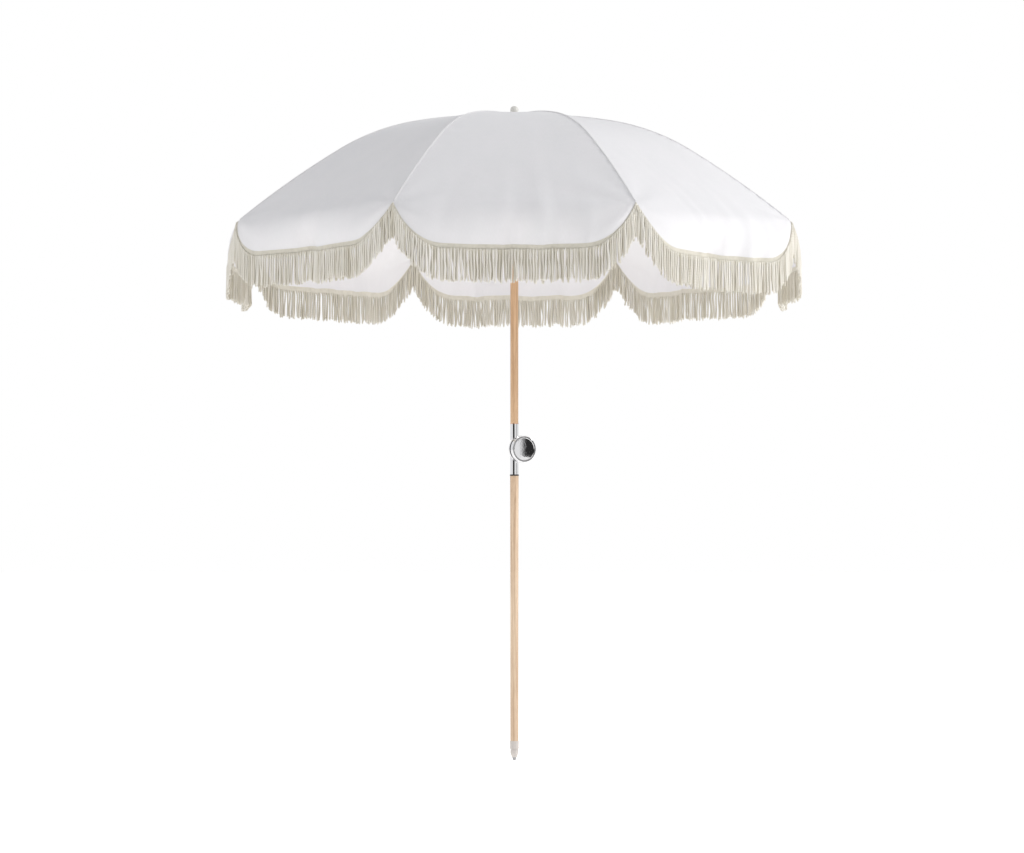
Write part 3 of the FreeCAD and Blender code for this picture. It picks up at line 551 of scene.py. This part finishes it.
def pulls(rng, side):
    """Creases that fan out from the rib's tip, and pucker along its seam, on one side of a panel."""
    aside = (1 - side * ACROSS) * HALF_CHORD * DISTANCE / CLOTH_END
    below = ALONG - ALONG[-1, 0]
    turn, off = np.arctan2(below, aside), np.hypot(aside, below)
    fan = np.sin(PULLS_ROUND_TIP * turn + rng.uniform(0, 6))
    lift = PULL_HEIGHT * fan * np.exp(-off / PULL_REACH) * (1 - np.exp(-aside / PUCKER_REACH))
    pucker = np.sin(ALONG * 2 * np.pi / PUCKER_PITCH + 3 * np.sin(ALONG * 9 + rng.uniform(0, 6)))
    near = np.exp(-aside / PUCKER_REACH) * (1 - np.exp(-aside / SEAM_REACH))
    return lift + PUCKER_HEIGHT * pucker * near


def ripple(rng):
    """How far a panel's cloth stands off its plain shape."""
    free = 1 - ACROSS ** 2
    slack = -SLACK * np.sin(np.pi * ALONG / ALONG[-1])
    return (slack + folds(rng)) * free + pulls(rng, -1) + pulls(rng, 1)


def panel_grid(panel):
    """One panel's points, outward directions and UVs."""
    mid = panel * 2 * HALF
    points = np.stack([DISTANCE * np.cos(mid + ANGLE), DISTANCE * np.sin(mid + ANGLE), HEIGHT], axis=-1)
    lift = ripple(np.random.default_rng(40 + panel))
    points = points + grid_normals(points) * lift[..., None]
    lower = np.clip((ALONG - ALONG[-1] + HEM_RISE_REACH) / HEM_RISE_REACH, 0, 1)
    points[..., 2] += HEM_RISE.get(panel, 0) * lower ** 2 * (3 - 2 * lower) * (1 - ACROSS ** 4)
    uv = np.stack([DISTANCE * np.sin(ANGLE), ALONG], axis=-1)
    return points, grid_normals(points), uv


def band_grid(points):
    """The hem tape's middle surface down from the cloth's edge, and the line that the cords are sewn to.

    Also gives the tape's outward directions, each column's place along the hem and its width there.
    """
    hem = points[-1]
    outward = unit(np.stack([hem[:, 0], hem[:, 1], np.zeros(len(hem))], axis=1))
    last = points[-1] - points[-3]
    slope = np.arctan2(-last[:, 2], (last * outward).sum(1))
    run = distances(hem[:, :2])
    steep = np.hypot(1, np.gradient(hem[:, 2], run))
    drop = BAND_WIDTH * np.minimum(steep, BAND_MOST_STRETCH)
    path = [hem - unit(last) * BAND_OVERLAP]
    steps = BAND_ROWS - 1
    for step in range(steps):
        angle = slope + (math.radians(BAND_END_SLOPE) - slope) * (step / steps) ** 0.8
        down = np.cos(angle)[:, None] * outward - np.sin(angle)[:, None] * [[0, 0, 1]]
        path.append(path[-1] + down * (drop / steps)[:, None])
    path = np.array(path)
    # Where the hem is steep the cords are sewn on further up the tape.
    row = CORD_FOOT_ROW * (1 - 0.85 * np.clip((steep - 1) / 0.35, 0, 1))
    whole, columns = row.astype(int), np.arange(len(row))
    part = (row - whole)[:, None]
    foot = path[whole, columns] * (1 - part) + path[whole + 1, columns] * part
    return path, grid_normals(path), run, drop, foot, outward


def hem_band(name, path, normals, run, drop):
    """The hem tape as a closed strip, thick at its two edges, with two rows of stitches."""
    share = np.linspace(0, 1, BAND_ROWS)
    edge = np.clip(np.minimum(share, 1 - share) * (BAND_ROWS - 1), 0, 1)
    beads = sum(np.exp(-((share - place) / 0.08) ** 2) for place in (0.12, 0.88))
    thick = (BAND_THICKNESS * (0.30 + 0.20 * edge) + BAND_BEAD * beads)[:, None, None]
    uv = np.stack([np.tile(run, (BAND_ROWS, 1)), share[:, None] * drop[None]], axis=-1)
    outer = path + normals * thick
    band = shell(name, outer, path - normals * thick, normals, uv, TAPE)
    add_stitches(band, [stitch_row(outer[row], normals[row]) for row in STITCHED_ROWS])
    return band


def cord_lines(foot, outward, rng):
    """Each cord's middle line, the directions beside and out from it, and its length.

    Also gives the share of the way down at each point and which cords lie behind the others.
    """
    run = distances(foot)
    count = int(round(run[-1] / CORD_PITCH))
    places = (np.arange(count) + 0.5) * run[-1] / count + rng.uniform(-CORD_SHIFT, CORD_SHIFT, count)
    top, out = sample(foot, run, places), unit(sample(outward, run, places))
    aside = np.cross([0.0, 0.0, 1.0], out)
    share = np.linspace(0, 1, CORD_ROWS)[None, :, None]
    long = (CORD_LENGTH * rng.uniform(*CORD_LENGTHS, count))[:, None, None]
    sway = rng.normal(0, CORD_SWAY, count)[:, None, None]
    wave = rng.normal(0, CORD_WAVE, count)[:, None, None]
    push = rng.normal(*CORD_PUSH, count)[:, None, None]
    behind = (np.arange(count) % 2)[:, None, None]
    line = top[:, None] - np.array([0, 0, 1.0]) * share * long
    line = line + aside[:, None] * (sway * share ** 1.6 + wave * np.sin(share * 7))
    set_back = CORD_LAYER * behind * np.minimum(share * 6, 1)
    line = line + out[:, None] * (push * share ** 1.5 + CORD_STAND_OFF - set_back)
    return line, aside, out, long, share, behind


def fringe(name, foot, outward, rng):
    """The cord fringe of a stretch of hem tape, one mesh. foot is the line its cords are sewn to."""
    line, aside, out, long, share, behind = cord_lines(foot, outward, rng)
    count = len(line)
    around = np.arange(CORD_SIDES) / CORD_SIDES * 2 * np.pi
    phase = rng.uniform(0, 2 * np.pi, count)[:, None, None]
    turn = 2 * around[None, None] - 2 * np.pi * share * long / PLY_PITCH + phase
    ends = np.clip(np.minimum(share * 30, (1.0 - share) * 26), 0, 1) ** 0.5
    size = CORD_RADIUS * (0.90 + PLY_DEPTH * np.cos(turn)) * (0.25 + 0.75 * ends)
    size = size * rng.uniform(0.88, 1.1, (count, 1, 1))
    ring = np.cos(around)[:, None] * aside[:, None, None] + np.sin(around)[:, None] * out[:, None, None]
    points = line[:, :, None] + ring * size[..., None]
    index = np.arange(count * CORD_ROWS * CORD_SIDES).reshape(count, CORD_ROWS, CORD_SIDES)
    after = np.roll(index, -1, axis=2)
    quads = np.stack([index[:, :-1], after[:, :-1], after[:, 1:], index[:, 1:]], axis=-1).reshape(-1, 4)
    caps = np.concatenate([index[:, 0, ::-1], index[:, -1]])
    around_uv = np.broadcast_to(around / (2 * np.pi), index.shape)
    along_uv = np.broadcast_to(share * long - phase * PLY_PITCH / (2 * np.pi), index.shape)
    uv = np.stack([around_uv, along_uv], axis=-1).reshape(-1, 2)
    # A tone that differs at random from cord to cord, plus painted shade on the cords of the back row.
    tone_and_shade = np.clip(rng.normal(0.30, 0.22, count) + 0.50 * behind.ravel(), 0, 1)
    tone_and_shade = np.repeat(tone_and_shade, CORD_ROWS * CORD_SIDES)
    return new_object(name, points.reshape(-1, 3), [*quads.tolist(), *caps.tolist()], CORD, uv, tone_and_shade)


def pleat(piece):
    """Bakes a piece of half panel's placing into its mesh."""
    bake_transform(piece)


# ---- canopy pieces -------------------------------------------------------------------------
def half_panel(rib, side, part, points, normals, uv):
    """Cloth, hem tape and fringe of one half panel."""
    name = f"{rib}_{side}"
    inner = points[:, part] - normals[:, part] * CLOTH_THICKNESS
    cloth = shell("cloth_" + name, points[:, part], inner, normals[:, part], uv[:, part], CLOTH)
    path, path_normals, run, drop, foot, outward = band_grid(points)
    band = hem_band("hem_" + name, path[:, part], path_normals[:, part], run[part], drop[part])
    seed = 100 + 2 * rib + (side == "left")
    cords = fringe("fringe_" + name, foot[part], outward[part], np.random.default_rng(seed))
    for piece in (cloth, band, cords):
        pleat(piece)
    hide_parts(f"canopy_{rib}_{side}")


left_part, right_part = slice(0, COLUMNS + 1), slice(COLUMNS, 2 * COLUMNS + 1)
panels = []
for panel in range(1, RIBS + 1):
    grid = panel_grid(panel)
    panels.append(grid)
    half_panel(panel, "left", left_part, *grid)
    half_panel(panel % RIBS + 1, "right", right_part, *grid)


def ring_faces(rows, sides):
    """Quads round a tube whose rings of points are numbered one after another."""
    index = np.arange(rows * sides).reshape(rows, sides)
    following = np.roll(index, -1, axis=1)
    return np.stack([index[:-1], index[1:], following[1:], following[:-1]], axis=-1).reshape(-1, 4)


def rib_seam(rib):
    """The felled seam over a rib: a raised strip with a piped ridge and two rows of stitches."""
    (after, after_normals, _), (before, before_normals, _) = panels[rib - 1], panels[rib - 2]
    down = slice(2, -1)
    line = after[down, 0]
    side_after, up_after = unit(after[down, 3] - line), after_normals[down, 0]
    side_before, up_before = unit(before[down, -4] - line), before_normals[down, -1]
    up = unit(up_after + up_before)
    right = [line + side_before * width + up_before * height for width, height in SEAM_PROFILE[:-1]]
    left = [line + side_after * width + up_after * height for width, height in SEAM_PROFILE[-2::-1]]
    points = np.stack([*right, line + up * SEAM_PROFILE[-1][1], *left, line - up * SEAM_DEPTH], axis=1)
    rows, sides = points.shape[:2]
    around = np.tile(np.linspace(0, SEAM_CLOTH_WIDTH, sides), (rows, 1))
    uv = np.stack([around, np.tile(distances(line)[:, None], (1, sides))], axis=-1)
    faces = ring_faces(rows, sides)
    strip = new_object(f"seam_{rib}", points.reshape(-1, 3), faces, CLOTH, uv.reshape(-1, 2))
    aside, above = SEAM_STITCHES
    add_stitches(strip, [stitch_row(line + side * aside + lift * above, lift)
                         for side, lift in ((side_after, up_after), (side_before, up_before))])
    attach(strip, f"rib_{rib}")


for rib in range(1, RIBS + 1):
    rib_seam(rib)


def crown_cover():
    """The round cloth patch sewn over the canopy's top."""
    _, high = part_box("crown_patch")
    edge = high.x
    radii = np.array([CROWN_HOLE, *CROWN_RINGS, edge - CROWN_EDGE, edge])
    around = np.linspace(0, 2 * np.pi, CROWN_SIDES + 1)[:-1]
    rng = np.random.default_rng(5)
    ruffle = sum(rng.normal(0, CROWN_RUFFLE) * np.cos(n * around + rng.uniform(0, 6)) for n in range(5, 16))
    share = ((radii - CROWN_HOLE) / (edge - CROWN_HOLE))[:, None]
    height = high.z - 0.0002 - CROWN_DROP * share ** 2 + ruffle[None] * share ** 2
    height[-1] -= 0.0003
    x, y = radii[:, None] * np.cos(around), radii[:, None] * np.sin(around)
    surface = np.stack([x, y, height], axis=-1)
    rings = np.concatenate([surface, (surface - [0, 0, CROWN_THICKNESS])[::-1]])
    index = np.arange(rings[..., 0].size).reshape(rings.shape[:2])
    following = np.roll(index, -1, axis=0)
    beside = np.roll(index, -1, axis=1), np.roll(following, -1, axis=1)
    quads = np.stack([index, following, beside[1], beside[0]], axis=-1).reshape(-1, 4)
    cover = new_object("crown_cover", rings.reshape(-1, 3), quads, CLOTH, rings[..., :2].reshape(-1, 2))
    cover.data.set_sharp_from_angle(angle=math.radians(50))
    threads = []
    for row in CROWN_STITCHED_ROWS:
        loop = np.concatenate([surface[row], surface[row, :1]]) + [0, 0, 0.0002]
        threads.append(stitch_row(loop, np.tile([0.0, 0.0, 1.0], (len(loop), 1))))
    add_stitches(cover, threads)
    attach(cover, "upper_mast")
    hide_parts("crown_patch")


crown_cover()


# ---- finishes of the CAD nodes ---------------------------------------------------------------
for part in frame["record"]["subparts"]:
    for material_slot in frame["nodes"][part["node"]].material_slots:
        material_slot.material = FINISHES[part["material_slot"]]


# ---- floor, light and camera ---------------------------------------------------------------
FLOOR_REACH = 60.0
FLOOR_GLOW = 0.47
DOME_COLOUR = (0.96, 0.975, 1.0, 1)
DOME_STRENGTH = 0.60
MIRRORED_WHITE = (0.85, 0.85, 0.87, 1)
DARK_GAPS = ((-134, -86), (-36, -27))  # directions round the pole, in degrees, with no light panel
DARK = 0.03

CAMERA_PLACE = (0.0, -10.0, 0.769)
CAMERA_PITCH = 2.283
CAMERA_LENS = 100.1
CAMERA_SHIFT = -0.0023


def studio_floor():
    floor = Look("studio_floor", Roughness=0.9, Emission_Strength=FLOOR_GLOW)
    floor.finish(Base_Color=colour(246, 246, 246), Emission_Color=(1.0, 0.97, 0.93, 1.0))
    corners = [(x * FLOOR_REACH, y * FLOOR_REACH, 0) for x, y in ((-1, -1), (1, -1), (1, 1), (-1, 1))]
    new_object("studio_floor", corners, [(0, 1, 2, 3)], floor.material)


def area_light(name, place, aim, size, power):
    """A round white light panel. size is its width in metres and power is in watts."""
    lamp = bpy.data.lights.new(name, "AREA")
    lamp.shape, lamp.size, lamp.energy = "DISK", size, power
    made = bpy.data.objects.new(name, lamp)
    made.location = place
    made.rotation_euler = (Vector(aim) - Vector(place)).to_track_quat("-Z", "Y").to_euler()
    bpy.context.scene.collection.objects.link(made)


def studio_world():
    """White behind the object, an even dome for its light, and a dome with dark gaps for its reflections."""
    world = bpy.data.worlds.new("studio")
    bpy.context.scene.world = world
    world.use_nodes = True
    nodes, links = world.node_tree.nodes, world.node_tree.links
    seen, dome, mirrored = nodes["Background"], *(nodes.new("ShaderNodeBackground") for _ in range(2))
    seen.inputs["Color"].default_value = (1, 1, 1, 1)
    seen.inputs["Strength"].default_value = 1.0
    dome.inputs["Color"].default_value = DOME_COLOUR
    dome.inputs["Strength"].default_value = DOME_STRENGTH
    way, parts = nodes.new("ShaderNodeTexCoord"), nodes.new("ShaderNodeSeparateXYZ")
    turn, share, gaps = (nodes.new("ShaderNode" + kind) for kind in ("Math", "MapRange", "ValToRGB"))
    turn.operation = "ARCTAN2"
    share.inputs["From Min"].default_value = -math.pi
    share.inputs["From Max"].default_value = math.pi
    ramp = gaps.color_ramp
    ramp.elements[0].color = ramp.elements[1].color = MIRRORED_WHITE
    for start, end in DARK_GAPS:
        for place, shade in ((start - 1.5, 0.95), (start + 0.5, DARK), (end - 0.5, DARK), (end + 3, 0.8)):
            ramp.elements.new(0.5 + place / 360).color = (shade, shade, shade, 1)
    links.new(way.outputs["Generated"], parts.inputs[0])
    links.new(parts.outputs["Y"], turn.inputs[0])
    links.new(parts.outputs["X"], turn.inputs[1])
    links.new(turn.outputs[0], share.inputs["Value"])
    links.new(share.outputs[0], gaps.inputs[0])
    links.new(gaps.outputs[0], mirrored.inputs["Color"])
    path = nodes.new("ShaderNodeLightPath")
    glossy, mix = (nodes.new("ShaderNodeMixShader") for _ in range(2))
    links.new(path.outputs["Is Glossy Ray"], glossy.inputs[0])
    links.new(dome.outputs[0], glossy.inputs[1])
    links.new(mirrored.outputs[0], glossy.inputs[2])
    links.new(path.outputs["Is Camera Ray"], mix.inputs[0])
    links.new(glossy.outputs[0], mix.inputs[1])
    links.new(seen.outputs[0], mix.inputs[2])
    links.new(mix.outputs[0], nodes["World Output"].inputs["Surface"])


def camera():
    """In front of the umbrella, ten metres off and level with its lower pole, looking slightly up."""
    lens = bpy.data.cameras.new("camera")
    lens.lens, lens.sensor_width = CAMERA_LENS, 36.0
    lens.clip_end = 200
    lens.shift_x = CAMERA_SHIFT
    made = bpy.data.objects.new("camera", lens)
    made.location = CAMERA_PLACE
    made.rotation_euler = (math.radians(90 + CAMERA_PITCH), 0, 0)
    bpy.context.scene.collection.objects.link(made)
    bpy.context.scene.camera = made


studio_floor()
studio_world()
area_light("key", place=(5.5, -0.8, 4.2), aim=(0, 0, 1.7), size=2.6, power=175)
area_light("fill", place=(-5.0, -3.0, 3.5), aim=(0, 0, 1.6), size=3.0, power=30)
camera()
bpy.context.scene.view_settings.view_transform = "Standard"
